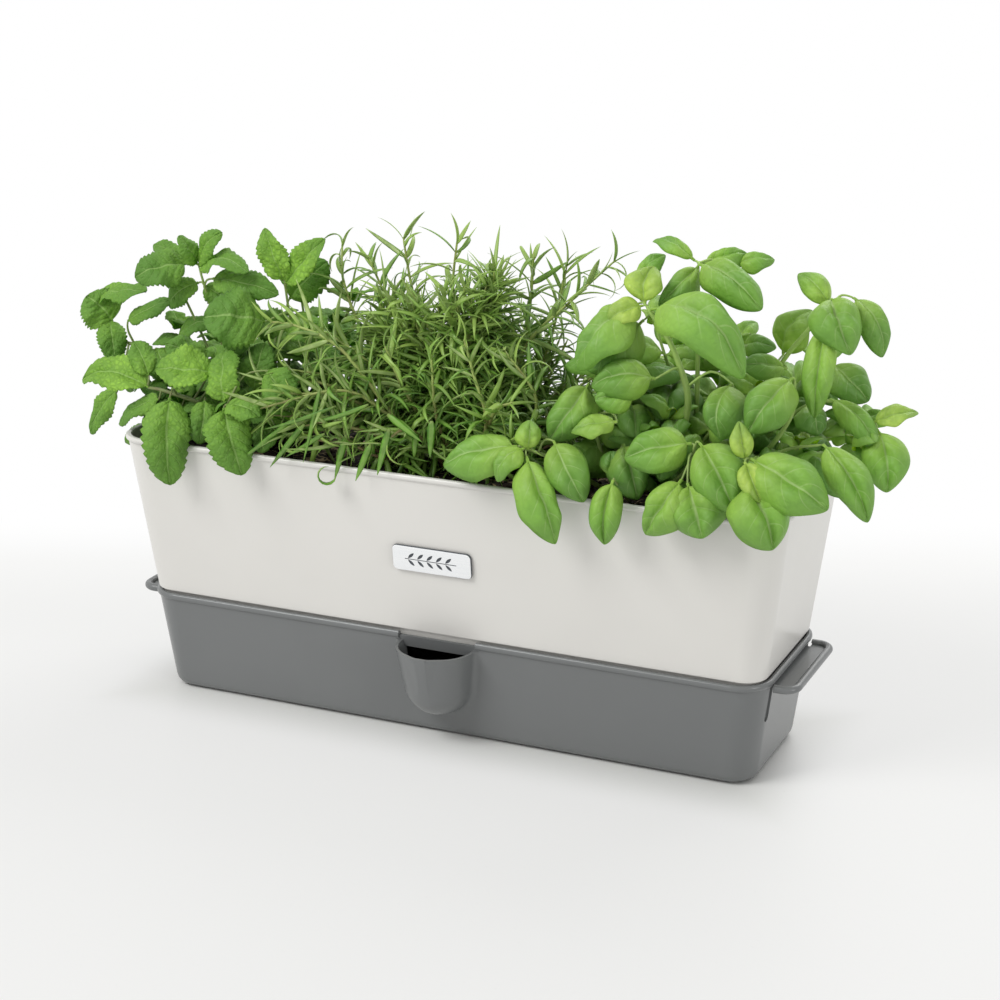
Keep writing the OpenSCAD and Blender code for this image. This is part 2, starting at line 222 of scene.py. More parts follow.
def leaf_look(name, colours, veins, form, roughness, crinkle, depth):
    """Leaf colour from the leaf's own map: x runs along it, y across it, z is its youth."""
    old, grown, young = colours
    pairs, slant = form.pairs, form.slant
    look = Look(name)
    own = look.add("Attribute", {"attribute_name": "leaf"}).outputs["Vector"]
    parts = look.add("SeparateXYZ", Vector=own)
    along, across, youth = parts.outputs
    side = look.math("ABSOLUTE", across)
    tone = look.mix(look.fit(youth, 0.0, 0.5), old, grown)
    tone = look.mix(look.fit(youth, 0.5, 1.0), tone, young)
    patches = look.fit(look.noise(90, 4), 0.35, 0.7)
    tone = look.mix(look.math("MULTIPLY", patches, 0.4), tone, old)
    # yellower near the stalk, darker towards the tip
    tone = look.mix(look.fit(along, 0.7, 0.05, 0.0, 0.4), tone, young)
    tone = look.mix(look.fit(along, 0.4, 1.0, 0.0, 0.45), tone, old)
    curved = look.math("MULTIPLY", look.math("POWER", side, 1.3), slant)
    row = look.math("SUBTRACT", look.math("MULTIPLY", along, pairs), curved)
    beside = look.math("ABSOLUTE", look.math("SUBTRACT", look.math("FRACT", row), 0.5))
    side_vein = look.math("MULTIPLY", look.fit(beside, 0.43, 0.5), look.fit(side, 0.9, 0.5))
    midrib = look.fit(side, 0.02, 0.075, 1.0, 0.0)
    lines = look.math("MAXIMUM", midrib, look.math("MULTIPLY", side_vein, 0.55))
    net = look.fit(look.cells(crinkle, "DISTANCE_TO_EDGE"), 0.0, 0.3)
    # painted shade: the colour darkens towards old in the creases of the crinkled net, more with a higher
    # depth
    crease_shaded = look.mix(look.math("MULTIPLY", look.math("SUBTRACT", 1.0, net), depth), tone, old)
    colour = look.mix(look.math("MULTIPLY", lines, 0.55), crease_shaded, veins)
    look.set(Base_Color=colour, Roughness=roughness, Specular_IOR_Level=0.6)
    look.bump(look.math("SUBTRACT", net, lines), 0.4 + 0.5 * depth, 0.8 * MM * (0.3 + depth))
    look.let_light_through(look.mix(0.5, colour, young), 0.22)
    return look


def needle_look():
    """Rosemary: dark glossy above and pale below, with a groove; young needles are lighter."""
    look = Look("rosemary_needle")
    own = look.add("Attribute", {"attribute_name": "leaf"}).outputs["Vector"]
    parts = look.add("SeparateXYZ", Vector=own)
    along, side, youth = parts.outputs
    patches = look.fit(look.noise(140, 3), 0.3, 0.7)
    top = look.mix(patches, rgb(64, 112, 30), rgb(114, 168, 54))
    top = look.mix(look.fit(youth, 0.05, 0.9), top, rgb(158, 190, 88))
    below = look.mix(patches, rgb(142, 170, 92), rgb(182, 202, 132))
    colour = look.mix(look.fit(side, -0.2, -0.8), top, below)
    colour = look.mix(look.fit(along, 0.12, 0.0, 0.0, 0.5), colour, rgb(176, 186, 118))
    groove = look.fit(look.math("ABSOLUTE", look.math("SUBTRACT", side, 0.95)), 0.3, 0.0, 0.0, 0.45)
    colour = look.mix(groove, colour, rgb(150, 178, 96))
    look.set(Base_Color=colour, Roughness=0.42, Specular_IOR_Level=0.45)
    look.bump(look.noise(1500, 3, look.stretched(1, 1, 0.4)), 0.2, 0.15 * MM)
    look.let_light_through(rgb(130, 165, 70), 0.12)
    return look


def stem_look(name, low, high, blush, start, end):
    """Stem colour that turns from low to high over a height, blushed in patches."""
    look = Look(name)
    height = look.add("SeparateXYZ", Vector=look.place).outputs[2]
    tone = look.mix(look.fit(height, start, end), low, high)
    streaks = look.fit(look.noise(160, 4, look.stretched(1, 1, 0.15)), 0.45, 0.75)
    look.set(Base_Color=look.mix(look.math("MULTIPLY", streaks, 0.6), tone, blush), Roughness=0.55)
    look.bump(look.noise(1200, 3, look.stretched(1, 1, 0.1)), 0.3, 0.2 * MM)
    return look


# ---------------------------------------------------------------- mesh tools


class Mesh:
    """Collects points, faces and a value per point, then makes one object of them."""

    def __init__(self):
        self.points, self.faces, self.values, self.count = [], [], [], 0

    def add(self, points, faces, values):
        self.points.append(points)
        self.faces.extend((np.asarray(faces) + self.count).tolist())
        self.values.append(values)
        self.count += len(points)

    def build(self, name, looks, body):
        mesh = bpy.data.meshes.new(name)
        mesh.from_pydata(np.concatenate(self.points).tolist(), [], self.faces)
        layer = mesh.attributes.new("leaf", "FLOAT_VECTOR", "POINT")
        layer.data.foreach_set("vector", np.concatenate(self.values).astype(np.float32).ravel())
        mesh.shade_smooth()
        for look in looks:
            mesh.materials.append(look.material)
        obj = bpy.data.objects.new(name, mesh)
        bpy.context.scene.collection.objects.link(obj)
        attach(obj, body)
        return obj


def grid_faces(rows, cols):
    """Quads of a rows by cols grid of points."""
    r, c = np.meshgrid(np.arange(rows - 1), np.arange(cols - 1), indexing="ij")
    a = (r * cols + c).ravel()
    return np.stack([a, a + 1, a + cols + 1, a + cols], axis=1)


def ring_faces(rows, cols):
    """Quads of a closed tube of rows rings with cols points each."""
    r, c = np.meshgrid(np.arange(rows - 1), np.arange(cols), indexing="ij")
    a = (r * cols + c).ravel()
    b = (r * cols + (c + 1) % cols).ravel()
    return np.stack([a, b, b + cols, a + cols], axis=1)


def smooth_path(points, steps):
    """Points along a Catmull-Rom curve through the given points."""
    p = np.asarray(points, float)
    p = np.vstack([2 * p[0] - p[1], p, 2 * p[-1] - p[-2]])
    out = []
    for i in range(1, len(p) - 2):
        t = np.linspace(0, 1, steps, endpoint=i == len(p) - 3)[:, None]
        a, b, c, d = p[i - 1], p[i], p[i + 1], p[i + 2]
        out.append(0.5 * (2 * b + (c - a) * t + (2 * a - 5 * b + 4 * c - d) * t**2
                          + (3 * b - a - 3 * c + d) * t**3))
    return np.vstack(out)


def add_tube(mesh, path, radius_low, radius_high, sides=8, youth=0.0, squareness=0.0):
    """A round or squarish stem along a path, closed at both ends."""
    n = len(path)
    tangents = np.gradient(path, axis=0)
    tangents /= np.linalg.norm(tangents, axis=1)[:, None]
    side = unit(np.cross(tangents[0], (0.3, 0.9, 0.1)))
    turn = np.linspace(0, 2 * math.pi, sides, endpoint=False)
    corner = 1 + squareness * np.cos(4 * turn)
    points = []
    for i in range(n):
        side = unit(side - np.dot(side, tangents[i]) * tangents[i])
        other = np.cross(tangents[i], side)
        along = i / (n - 1)
        radius = radius_low + (radius_high - radius_low) * along
        if i in (0, n - 1):
            radius *= 0.55
        ring = path[i] + radius * corner[:, None] * (
            np.cos(turn)[:, None] * side + np.sin(turn)[:, None] * other)
        points.append(ring)
    values = np.zeros((n * sides, 3))
    values[:, 0] = np.repeat(np.linspace(0, 1, n), sides)
    values[:, 2] = youth
    mesh.add(np.vstack(points), ring_faces(n, sides), values)
    first = mesh.count - n * sides
    mesh.faces.append(list(range(first + sides - 1, first - 1, -1)))
    mesh.faces.append(list(range(mesh.count - sides, mesh.count)))


def soften(node, name, look, voxel, lumps, fine, reshape=None):
    """Replaces a plain CAD solid by a lumpy, rounded copy of it."""
    obj = nodes[node].copy()
    obj.data = nodes[node].data.copy()
    obj.name = obj.data.name = name
    for key in list(obj.keys()):
        del obj[key]
    obj.parent = None
    bpy.context.scene.collection.objects.link(obj)
    obj.data.remesh_voxel_size = voxel
    bpy.ops.object.select_all(action="DESELECT")
    bpy.context.view_layer.objects.active = obj
    obj.select_set(True)
    bpy.ops.object.voxel_remesh()
    mesh = obj.data
    count = len(mesh.vertices)
    co = np.zeros(count * 3)
    normals = np.zeros(count * 3)
    mesh.vertices.foreach_get("co", co)
    mesh.vertices.foreach_get("normal", normals)
    co, normals = co.reshape(-1, 3), normals.reshape(-1, 3)
    for i, p in enumerate(co):
        coarse = noise.noise(Vector(p * 90)) * lumps
        small = noise.noise(Vector(p * 330 + 7)) * fine
        co[i] += normals[i] * (coarse + small - 0.6 * (lumps + fine))
    if reshape:
        co = reshape(co)
    mesh.vertices.foreach_set("co", co.ravel())
    mesh.shade_smooth()
    mesh.materials.clear()
    mesh.materials.append(look.material)
    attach(obj, frame_body(node))
    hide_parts(node)
    return obj


def frame_body(node):
    return next(b for b, members in frame["record"]["behaviour"]["bodies"].items() if node in members)


# ---------------------------------------------------------------- moulded parts


def finish_cad(node, look, bevel=0.0):
    """Keeps a CAD node, welded and smoothly shaded, with its own material."""
    obj = nodes[node]
    if "custom_normal" in obj.data.attributes:
        obj.data.attributes.remove(obj.data.attributes["custom_normal"])
    obj.data.shade_smooth()
    weld = obj.modifiers.new("weld", "WELD")
    weld.merge_threshold = 0.01 * MM
    if bevel:
        edge = obj.modifiers.new("bevel", "BEVEL")
        edge.width = bevel
        edge.segments = 3
        edge.angle_limit = math.radians(40)
    split = obj.modifiers.new("split", "EDGE_SPLIT")
    split.split_angle = math.radians(38)
    even = obj.modifiers.new("even", "WEIGHTED_NORMAL")
    even.keep_sharp = True
    obj.data.materials.clear()
    obj.data.materials.append(look.material)


# ---------------------------------------------------------------- leaves


@dataclass
class LeafForm:
    """The shape that all leaves of one herb share."""

    stalk: float  # share of the length that is bare stalk
    round_base: float  # a lower number gives a rounder base
    point: float  # a higher number gives a longer point
    arch: float  # rise of the midrib, as a share of the length
    belly: float  # bulge of each half, as a share of the half width
    lip: float  # how far the edge turns down, as a share of the half width
    pairs: float  # side veins on each half
    slant: float  # how far a side vein runs towards the tip, in spaces between veins
    ribs: float  # depth of the valleys along the side veins, as a share of the width
    wave: float  # waviness of the edge, as a share of the half width
    pucker: float  # depth of the slow dents in the blade, as a share of the width
    teeth: int  # teeth on each edge
    tooth: float  # depth of a tooth, as a share of the half width

    def half_width(self, u, width):
        t = np.clip((u - self.stalk) / (1 - self.stalk), 0, 1)
        p, q = self.round_base, self.point
        peak = (p / (p + q)) ** p * (q / (p + q)) ** q
        return 0.5 * width * t**p * (1 - t) ** q / peak + (0.1 + 0.6 * (1 - u) ** 2) * MM


MINT = LeafForm(0.04, 0.5, 0.64, 0.1, 0.16, 0.2, 6.5, 1.8, 0.06, 0.22, 0.04, 11, 0.15)
BASIL = LeafForm(0.08, 0.56, 0.74, 0.13, 0.42, 0.5, 4.5, 1.4, 0.04, 0.14, 0.035, 0, 0.0)


def add_leaf(mesh, form, base, reach, width, youth, face, rng, rows=22, cols=13):
    """One leaf blade from base to base + reach, its upper side turned towards face."""
    length = np.linalg.norm(reach)
    along = reach / length
    normal = unit(face - np.dot(face, along) * along)
    side = np.cross(normal, along)
    even = np.linspace(0, 1, rows)[:, None]
    u = 0.45 * even + 0.275 * (1 - np.cos(math.pi * even))
    v = np.linspace(-1, 1, cols)[None, :]
    out = np.abs(v)
    half = form.half_width(u, width)
    if form.teeth:
        bite = (u * form.teeth + 0.3) % 1.0
        half = half * (1 + form.tooth * (0.4 - bite**2) * out**6)
    across = half * v
    arch = form.arch * rng.uniform(0.3, 1.7) * length * 4 * u * (1 - u)
    tip_drop = -rng.uniform(0.0, 0.12) * length * np.clip(u - 0.75, 0, 1) * 4
    fold = 0.9 * max(0.0, youth - 0.6)
    bulge = form.belly * rng.uniform(0.6, 1.3) * np.sin(math.pi * out)
    bulge = bulge - form.lip * rng.uniform(0.4, 1.3) * out**3
    height = half * (bulge * (1 - fold) + fold * out)
    rows_of_veins = form.pairs * u - form.slant * out**1.3
    ridges = np.abs(np.sin(math.pi * rows_of_veins)) ** 0.6 - 0.6
    height = height + form.ribs * width * ridges * np.clip(6 * out, 0, 1) * (1 - out**5)
    phase = rng.uniform(0, 6.28)
    dents = np.sin(rng.uniform(11, 17) * u + phase) * np.sin(rng.uniform(3, 5) * v + 2 * phase)
    height = height + form.pucker * width * dents * 4 * u * (1 - u)
    height = height + form.wave * half * out**2 * np.sin(9.5 * u + phase + 2.2 * (v > 0))
    twist = rng.uniform(-0.45, 0.45) * u
    turned = across * np.cos(twist) - height * np.sin(twist)
    height = across * np.sin(twist) + height * np.cos(twist)
    across = turned
    sway = rng.uniform(-0.06, 0.06) * length * 4 * u * (1 - u)
    points = (base + along * (length * u)[..., None] + side * (across + sway)[..., None]
              + normal * (height + arch + tip_drop)[..., None])
    values = np.zeros((rows, cols, 3))
    values[..., 0], values[..., 1], values[..., 2] = u, v, np.clip(youth, 0, 1)
    mesh.add(points.reshape(-1, 3), grid_faces(rows, cols), values.reshape(-1, 3))


def add_placed_leaves(mesh, form, rows, rng):
    """The leaves that give the herb its outline: base, reach, width and youth, in mm."""
    for x, y, z, dx, dy, dz, width, youth in rows:
        base = np.array((x, y, z)) * MM
        reach = np.array((dx, dy, dz)) * MM
        lean = np.array((rng.uniform(-0.45, 0.45), 0, rng.uniform(-0.2, 0.5)))
        add_leaf(mesh, form, base, reach, width * MM, youth + rng.uniform(-0.08, 0.08),
                 TOWARDS_VIEW + lean, rng, 44, 17)


# Pairs of leaves up a shoot: place from 0 to 1, share of the full size, rise and youth.
LEAF_LEVELS = (
    (0.35, 0.8, -0.3, 0.0), (0.62, 1.0, -0.25, 0.12), (0.86, 0.9, 0.05, 0.3),
    (1.0, 0.62, 0.55, 0.6), (1.0, 0.34, 1.3, 0.9),
)


def grow_shoot(leaves, stems, form, root, tip, size, rng, stem_radius, square):
    """A shoot from root to tip (mm) with pairs of leaves that cross each other up the stem."""
    root, tip = np.array(root) * MM, np.array(tip) * MM
    middle = (root + tip) / 2 + np.array((rng.uniform(-6, 6), rng.uniform(-6, 6), 6)) * MM
    path = smooth_path([root, middle, tip], 8)
    add_tube(stems, path, stem_radius, stem_radius * 0.6, 8, 0.3, square)
    outward = tip - root
    outward[2] = 0
    heading = rng.uniform(0, math.pi)
    for level, share, rise, youth in LEAF_LEVELS:
        at = path[min(int(level * (len(path) - 1)), len(path) - 1)]
        for turn in (0, math.pi):
            a = heading + turn + rng.uniform(-0.35, 0.35)
            flat = np.array((math.cos(a), math.sin(a), 0)) + outward * 4
            direction = unit(unit(flat) + UP * (rise + rng.uniform(-0.2, 0.2)))
            length = size * share * rng.uniform(0.85, 1.15)
            face = unit(UP - direction * 0.3 + np.array((0, -0.15, 0)))
            add_leaf(leaves, form, at, direction * length * MM, length * 0.62 * MM,
                     youth + rng.uniform(-0.12, 0.12), face, rng, 24, 11)
        heading += math.pi / 2


# Base x, y, z, reach dx, dy, dz and width in mm, then youth from 0 to 1.
MINT_LEAVES = (
    # upright top shoot
    (-180, -10, 264, 22, -10, 24, 15, 0.7), (-182, -10, 265, -6, -10, 18, 15, 0.5),
    (-186, -8, 265, -30, 3, 9, 13, 0.5), (-190, -10, 264, -24, -20, -5, 26, 0.15),
    (-178, -10, 263, 38, -15, 6, 19, 0.5), (-172, -8, 256, 48, -7, -2, 20, 0.3),
    # bright pair beside the rosemary
    (-122, -10, 260, -9, -5, 31, 18, 1.0), (-120, -10, 258, 25, 0, 29, 18, 0.95),
    (-129, 10, 244, 29, -5, 26, 24, 0.25),
    # left shoot with an arched leaf
    (-262, 0, 236, 42, -10, 8, 22, 0.45), (-249, -5, 221, -15, -5, 16, 29, 0.55),
    (-234, -10, 224, 33, 0, 17, 13, 0.2),
    # broad wrinkled leaf
    (-127, -25, 237, -30, -20, 5, 37, 0.2), (-130, -35, 197, 5, 5, 28, 22, 0.2),
    # low left shoot
    (-195, -50, 195, -49, 0, 3, 24, 1.0), (-185, -55, 190, -34, 5, -20, 16, 0.3),
    (-196, -48, 202, -15, 8, 18, 16, 0.6), (-238, -20, 181, -22, 0, -31, 15, 0.55),
    (-209, -30, 164, -23, 5, -15, 9, 0.4),
    # leaves over the front lip
    (-169, -68, 196, 6, -13, -50, 29, 0.45), (-133, -66, 193, 19, -14, -34, 30, 0.45),
    (-139, -55, 193, -7, 15, 29, 27, 0.8), (-152, -45, 208, -34, -10, 1, 27, 0.95),
    (-131, -66, 195, 24, -4, -3, 19, 0.65), (-152, -56, 193, -1, -8, -25, 17, 0.15),
    # smaller leaves along the stems
    (-181, -4, 250, 16, 6, -14, 15, 0.1), (-184, -6, 252, -20, -4, -16, 16, 0.25),
    (-250, -6, 222, 8, -8, -24, 18, 0.3), (-222, -8, 207, -12, -10, -26, 20, 0.25),
    (-216, -6, 207, 20, -12, -18, 20, 0.1), (-204, 0, 214, 26, -4, 16, 18, 0.2),
    (-160, -20, 214, 26, -14, 10, 24, 0.2), (-166, -30, 208, -18, -16, 14, 22, 0.4),
    (-122, 2, 236, 24, -10, -14, 22, 0.35), (-124, 0, 230, -26, -8, 4, 22, 0.3),
    (-112, -48, 214, 22, -12, -14, 22, 0.3), (-176, -44, 184, -20, -14, -12, 18, 0.1),
)
BASIL_LEAVES = (
    # top shoot
    (138, -10, 294, -26, 5, 9, 12, 0.55), (142, -5, 292, 22, 10, 6, 14, 0.6),
    (160, 0, 292, 19, 5, 3, 13, 0.5), (143, -15, 293, 42, -20, -16, 23, 0.4),
    (142, -15, 292, -17, -15, -20, 16, 0.3), (105, -10, 280, 13, 5, 15, 14, 0.5),
    # pale growing tip and its big leaves
    (120, -38, 274, 1, 8, 19, 21, 1.0), (119, -40, 273, -17, -10, -8, 18, 1.0),
    (124, -40, 271, 60, -18, -22, 35, 0.45), (115, -38, 273, -29, -17, -35, 32, 0.4),
    (117, -32, 263, -33, -3, -31, 30, 0.05), (129, -45, 234, -32, -13, -3, 24, 0.35),
    (119, -50, 224, -19, -10, -1, 18, 0.4), (111, -55, 210, -23, -10, -5, 17, 0.65),
    # left, beside the rosemary
    (90, -45, 227, -18, -15, -30, 25, 0.35), (57, -68, 193, -42, -10, -12, 28, 0.45),
    (62, -70, 193, -13, -10, -17, 17, 0.65), (63, -68, 192, 1, 2, 16, 14, 0.75),
    (64, -72, 189, 24, -12, -43, 25, 0.45), (78, -66, 198, 22, -10, -29, 23, 0.2),
    (117, -75, 183, -3, -5, -36, 18, 0.4),
    # front middle
    (157, -62, 205, -35, -10, -9, 27, 0.4), (163, -66, 207, 25, -16, -30, 30, 0.35),
    (156, -74, 188, -17, -8, -31, 24, 0.6), (160, -76, 187, 12, -8, -27, 34, 0.45),
    # front right with a pale tip
    (190, -70, 202, -5, 2, 20, 12, 0.9), (191, -74, 202, 12, -10, -17, 14, 0.95),
    (193, -70, 203, 45, -10, -18, 32, 0.5), (191, -76, 190, 21, -10, -30, 34, 0.5),
    # middle
    (171, -38, 234, -1, -17, -26, 25, 0.2), (205, -38, 241, -18, -20, -27, 26, 0.3),
    (216, -15, 268, -1, -15, -50, 17, 0.7),
    # right top shoot
    (214, -5, 275, -19, 5, 15, 14, 0.6), (216, -8, 279, 17, -22, -22, 29, 0.3),
    (226, 0, 279, 20, -5, -29, 19, 0.25), (182, 20, 238, 13, 5, 26, 25, 0.75),
    (165, 0, 245, 20, -8, 4, 14, 0.15), (193, -10, 238, -21, -15, 4, 16, 0.35),
    # right side
    (213, 10, 238, 23, -5, -17, 24, 0.1), (218, -8, 223, 31, -12, -23, 15, 0.3),
    (243, -10, 213, 22, 10, 6, 14, 0.85), (246, -12, 210, 11, -13, -30, 25, 0.45),
    (225, -45, 208, 31, -13, -34, 21, 0.35), (205, -10, 218, 10, -10, -12, 20, 0.05),
    # shaded, low
    (111, -58, 180, -1, -2, 14, 14, 0.1), (113, -50, 196, 13, -12, -26, 24, 0.1),
)
# Stems through these points, in mm, then the radius at the root.
MINT_STEMS = (
    (((-150, -5, 156), (-172, 0, 212), (-181, -10, 264)), 1.4),
    (((-140, 0, 156), (-124, 0, 215), (-121, -10, 260)), 1.4),
    (((-165, -5, 156), (-219, -5, 204), (-242, -5, 210), (-264, -8, 237)), 1.7),
    (((-140, -20, 156), (-152, -45, 184), (-179, -54, 195), (-196, -50, 195)), 1.5),
    (((-130, -25, 156), (-134, -56, 190), (-133, -64, 194)), 1.3),
    (((-160, 5, 156), (-190, -5, 232), (-200, -5, 250)), 1.1),
)
BASIL_STEMS = (
    (((112, -12, 156), (142, -28, 210), (137, -35, 246), (121, -39, 273)), 2.4),
    (((135, 0, 156), (140, -5, 209), (141, -12, 293)), 1.9),
    (((150, 5, 156), (178, -5, 213), (190, -5, 242), (216, -5, 276)), 2.1),
    (((140, -15, 156), (180, -24, 186), (202, -30, 216), (206, -38, 240)), 1.8),
    (((150, -5, 156), (190, 0, 205), (218, -8, 222), (244, -10, 213)), 1.6),
    (((120, -25, 156), (150, -50, 186), (160, -64, 206)), 1.7),
    (((135, -25, 156), (178, -55, 188), (192, -70, 203)), 1.7),
    (((95, -20, 156), (74, -52, 182), (60, -68, 193)), 1.6),
    (((100, -25, 156), (92, -40, 200), (90, -45, 228)), 1.4),
    (((150, -20, 156), (196, -34, 196), (225, -45, 208)), 1.2),
    (((110, -30, 156), (116, -64, 176), (117, -75, 184)), 1.0),
)
# Tips of the shoots that fill each herb and give it a back.
MINT_SHOOTS = (
    (-150, 28, 222), (-198, 34, 204), (-112, 42, 222), (-170, 60, 196), (-224, 12, 188), (-138, 66, 190),
    (-96, 18, 214), (-205, -14, 192), (-160, -16, 206), (-118, -30, 196), (-180, -38, 184), (-215, 46, 180),
    (-140, 0, 222), (-104, -8, 228), (-232, -20, 190), (-176, 10, 212), (-98, 34, 240), (-128, 22, 244),
    (-210, 14, 216), (-150, -46, 182), (-100, -46, 184), (-86, 52, 204),
)
BASIL_SHOOTS = (
    (150, 34, 236), (198, 36, 230), (112, 34, 232), (168, 62, 206), (226, 18, 200), (136, 64, 200),
    (96, 14, 220), (205, -18, 196), (160, -22, 208), (120, -28, 196), (186, -46, 184), (222, 46, 190),
    (92, -16, 236), (110, 8, 250), (132, -24, 206), (84, -34, 200), (100, 46, 214), (236, -8, 196),
    (176, 4, 216), (88, 30, 196),
)


def stem_from(stems, points, radius, square):
    path = smooth_path(np.array(points) * MM, 9)
    add_tube(stems, path, radius * MM, radius * 0.55 * MM, 8, 0.5, square)
    return path


def add_stalks(stems, paths, placed, radius):
    """A thin stalk from each placed leaf to the nearest point of the herb's stems."""
    spine = np.vstack(paths)
    for x, y, z, dx, dy, dz, width, youth in placed:
        base = np.array((x, y, z)) * MM
        reach = unit(np.array((dx, dy, dz)))
        joint = spine[np.argmin(np.linalg.norm(spine - base + UP * 2 * MM, axis=1))]
        gap = np.linalg.norm(base - joint)
        if gap < 1 * MM:
            continue
        bend = (joint + base) / 2 + UP * 0.12 * gap - reach * 0.15 * gap
        path = smooth_path([joint, bend, base, base + reach * 3 * MM], 4)
        add_tube(stems, path, radius, radius * 0.6, 6, 0.8)


def leafy_herb(herb, form, placed, lines, shoots, size, leaf_looks, stalk_look, square):
    """Mint or basil: placed leaves for its outline, and shoots that fill it and give it a back."""
    rng = random.Random(herb)
    leaves, stems = Mesh(), Mesh()
    add_placed_leaves(leaves, form, placed, rng)
    paths = [stem_from(stems, points, radius, square) for points, radius in lines]
    add_stalks(stems, paths, placed, 0.8 * MM)
    low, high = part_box(herb + "_root_ball")
    centre = (np.array(low) + np.array(high)) / 2 / MM
    top = high[2] / MM - 2
    for tip in shoots:
        root = (centre[0] + (tip[0] - centre[0]) * 0.3, tip[1] * 0.35, top)
        grow_shoot(leaves, stems, form, root, tip, size * rng.uniform(0.85, 1.1), rng, 1.3 * MM, square)
    blades = leaves.build(herb + "_leaves", leaf_looks, herb)
    thick = blades.modifiers.new("thickness", "SOLIDIFY")
    thick.thickness = 0.35 * MM
    thick.offset = -1
    thick.material_offset = 1
    thick.use_rim = True
    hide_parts(herb + "_foliage")
    stalks = stems.build(herb + "_stalks", [stalk_look], herb)
    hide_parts(herb + "_stems")


# ---------------------------------------------------------------- rosemary

# Points of each placed stem in mm, root first.
ROSEMARY_STEMS = (
    # upright tips
    ((-20, 0, 156), (-70, 0, 225), (-88, 4, 258), (-92, 10, 282)),
    ((-12, 8, 156), (-40, 15, 226), (-50, 18, 258), (-56, 20, 286)),
    ((-4, 0, 156), (-9, 0, 230), (-13, -2, 262), (-9, -4, 294)),
    ((8, 10, 156), (22, 20, 222), (27, 20, 254), (29, 20, 284)),
    ((10, 0, 156), (29, 0, 226), (58, 5, 260), (84, 10, 286)),
    ((12, 12, 156), (34, 28, 222), (46, 30, 276)),
    ((-16, 6, 156), (-52, 8, 230), (-74, 8, 276)),
    ((4, 2, 156), (10, 6, 226), (8, 8, 272)),
    # long arching branches on the left
    ((-10, -20, 156), (-30, -44, 192), (-62, -50, 232), (-92, -46, 242), (-112, -45, 243)),
    ((-12, -15, 156), (-36, -46, 196), (-60, -58, 210), (-106, -70, 197)),
    ((-14, -10, 156), (-50, -30, 216), (-84, -36, 240)),
    ((-18, -14, 156), (-52, -40, 190), (-84, -60, 186)),
    ((-14, -16, 156), (-48, -46, 184), (-100, -58, 178)),
    ((-16, -8, 156), (-60, -28, 204), (-104, -40, 214)),
    # light tips in front
    ((4, -20, 156), (28, -46, 196), (22, -50, 226), (16, -50, 246)),
    ((-2, -18, 156), (-6, -40, 194), (-7, -45, 234)),
    ((14, -12, 156), (54, -34, 206), (34, -36, 240)),
    ((-5, -22, 156), (-16, -54, 190), (-28, -68, 184)),
    ((16, -20, 156), (38, -50, 184), (50, -60, 194)),
    ((8, -18, 156), (34, -50, 204), (48, -54, 214)),
    ((-8, -14, 156), (-26, -40, 208), (-36, -46, 236)),
    # low stems that lie towards the front lip on the left
    ((-16, -14, 156), (-60, -44, 186), (-108, -58, 190)),
    ((-16, -12, 156), (-56, -44, 200), (-96, -64, 206)),
    ((-14, -18, 156), (-40, -52, 184), (-70, -66, 192)),
    ((-18, -8, 156), (-70, -36, 204), (-118, -50, 206)),
    ((-20, -16, 156), (-44, -50, 174), (-84, -62, 180)),
    ((-24, -18, 156), (-40, -54, 172), (-58, -62, 184)),
)
# Long needles at the front lip: start x, y, z, reach dx, dy, dz, then the curl in radians and the width.
HANGING_NEEDLES = (
    (-24, -66, 193, -5, -7, -26, -0.2, 4.6), (-56, -72, 162, -3, -2, -15, -4.7, 4.6),
    (-56, -70, 204, -42, -18, -20, 0.5, 2.6), (3, -66, 201, 1, -4, -21, 0.2, 4.6),
    (-26, -64, 201, 23, -4, -13, 0.2, 4.2), (-34, -72, 208, -34, -16, -18, 0.8, 2.8),
    (-66, -70, 214, -4, -14, -44, 0.4, 2.6), (-65, -68, 186, -23, -6, -16, 0.1, 2.8),
    (-86, -66, 192, -40, -8, -32, -0.2, 2.8), (-78, -68, 190, -20, -7, -26, -0.1, 3.8),
    (-52, -66, 186, -5, -6, -26, -0.05, 4.0), (-35, -68, 183, -8, -5, -21, -0.2, 4.2),
)


def rosemary_fill(rng):
    """More stems inside a sprawling dome, so that the herb is full from every side."""
    lines = []
    for i in range(104):
        a = i * 2.4
        reach = 0.25 + 0.75 * ((i * 0.618) % 1)
        x = -8 + 88 * reach * math.cos(a)
        y = 62 * reach * math.sin(a)
        z = 282 - 72 * reach**2 + rng.uniform(-42, 4)
        root = (x * 0.3, y * 0.3, 156)
        middle = (x * 0.72 + rng.uniform(-6, 6), y * 0.72 + rng.uniform(-6, 6), 156 + (z - 156) * 0.66)
        tip = (x, y, z)
        lines.append((root, middle, tip))
    return lines


